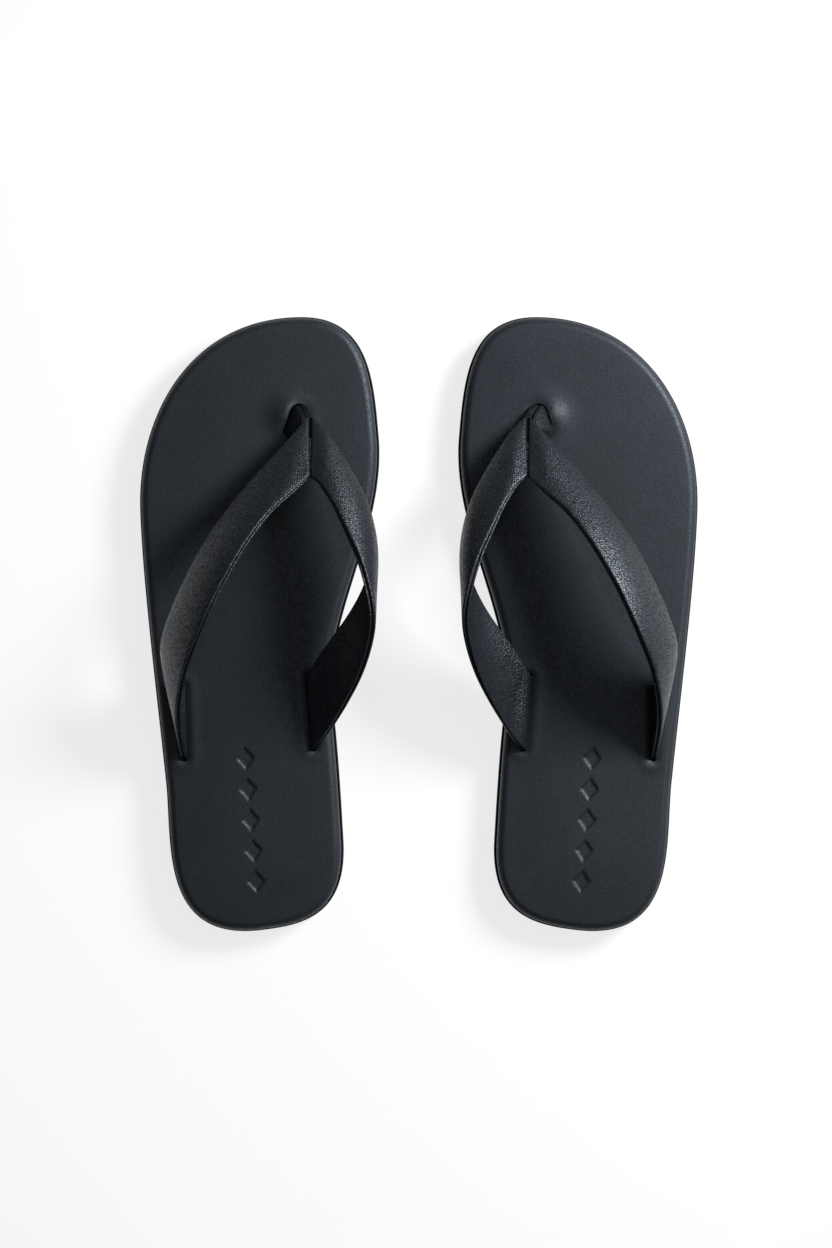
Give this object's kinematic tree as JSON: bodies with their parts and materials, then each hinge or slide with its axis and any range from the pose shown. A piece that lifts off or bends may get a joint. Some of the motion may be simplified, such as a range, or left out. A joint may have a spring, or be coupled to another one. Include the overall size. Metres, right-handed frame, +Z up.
{
  "type": "flip flops",
  "caption": "Leather thong sandals, left and right, with layered soles that flex at the ball of the foot and wide pebbled straps meeting at a toe post.",
  "frame": {"origin": "on the ground, at the middle of the pair's outer box", "axes": "+Y from heel to toe, +X to the wearer's right, +Z up"},
  "size_m": [0.236, 0.2598, 0.0555],
  "materials": {
    "rubber": "matte moulded rubber",
    "foam": "closed-cell foam",
    "board": "pressed fibreboard",
    "pad": "open-cell foam sheet",
    "cover_leather": "smooth leather, matte, fine grain",
    "strap_leather": "pebbled leather, satin",
    "strap_lining": "pebbled lining leather, satin",
    "tape": "woven reinforcing tape",
    "thread": "bonded thread",
    "steel": "plain steel tack",
    "cord": "braided cord",
    "anchor_plastic": "moulded disc"
  },
  "bodies": {
    "left_heel": {"left_outsole_rear": "rubber", "left_midsole_rear": "foam", "left_board_rear": "board", "left_pad_rear": "pad", "left_cover_rear": "cover_leather", "left_lateral_strap": "strap_leather", "left_lateral_strap_core": "tape", "left_lateral_strap_lining": "strap_lining", "left_medial_strap": "strap_leather", "left_medial_strap_core": "tape", "left_medial_strap_lining": "strap_lining", "left_seam_stitches": "thread", "left_strap_tacks": "steel"},
    "left_toe": {"left_outsole_front": "rubber", "left_midsole_front": "foam", "left_board_front": "board", "left_pad_front": "pad", "left_cover_front": "cover_leather", "left_toe_post_wrap": "strap_leather", "left_toe_post_core": "cord", "left_toe_post_anchor": "anchor_plastic"},
    "right_heel": {"right_outsole_rear": "rubber", "right_midsole_rear": "foam", "right_board_rear": "board", "right_pad_rear": "pad", "right_cover_rear": "cover_leather", "right_lateral_strap": "strap_leather", "right_lateral_strap_core": "tape", "right_lateral_strap_lining": "strap_lining", "right_medial_strap": "strap_leather", "right_medial_strap_core": "tape", "right_medial_strap_lining": "strap_lining", "right_seam_stitches": "thread", "right_strap_tacks": "steel"},
    "right_toe": {"right_outsole_front": "rubber", "right_midsole_front": "foam", "right_board_front": "board", "right_pad_front": "pad", "right_cover_front": "cover_leather", "right_toe_post_wrap": "strap_leather", "right_toe_post_core": "cord", "right_toe_post_anchor": "anchor_plastic"}
  },
  "joints": [
    {"name": "left_toe_flex", "type": "hinge", "parent": "left_heel", "child": "left_toe", "pos_m": [-0.0675, 0.04, 0.014], "axis": [1, 0, 0], "range_deg": [0, 30], "stiffness_Nm_per_rad": 1.2, "deforming": ["left_lateral_strap", "left_lateral_strap_core", "left_lateral_strap_lining", "left_medial_strap", "left_medial_strap_core", "left_medial_strap_lining", "left_seam_stitches"]},
    {"name": "right_toe_flex", "type": "hinge", "parent": "right_heel", "child": "right_toe", "pos_m": [0.0675, 0.04, 0.014], "axis": [1, 0, 0], "range_deg": [0, 30], "stiffness_Nm_per_rad": 1.2, "deforming": ["right_lateral_strap", "right_lateral_strap_core", "right_lateral_strap_lining", "right_medial_strap", "right_medial_strap_core", "right_medial_strap_lining", "right_seam_stitches"]},
    {"name": "right_shoe_lift", "type": "slide", "parent": "left_heel", "child": "right_heel", "axis": [0, 0, 1], "range_m": [0, 0.12]}
  ]
}
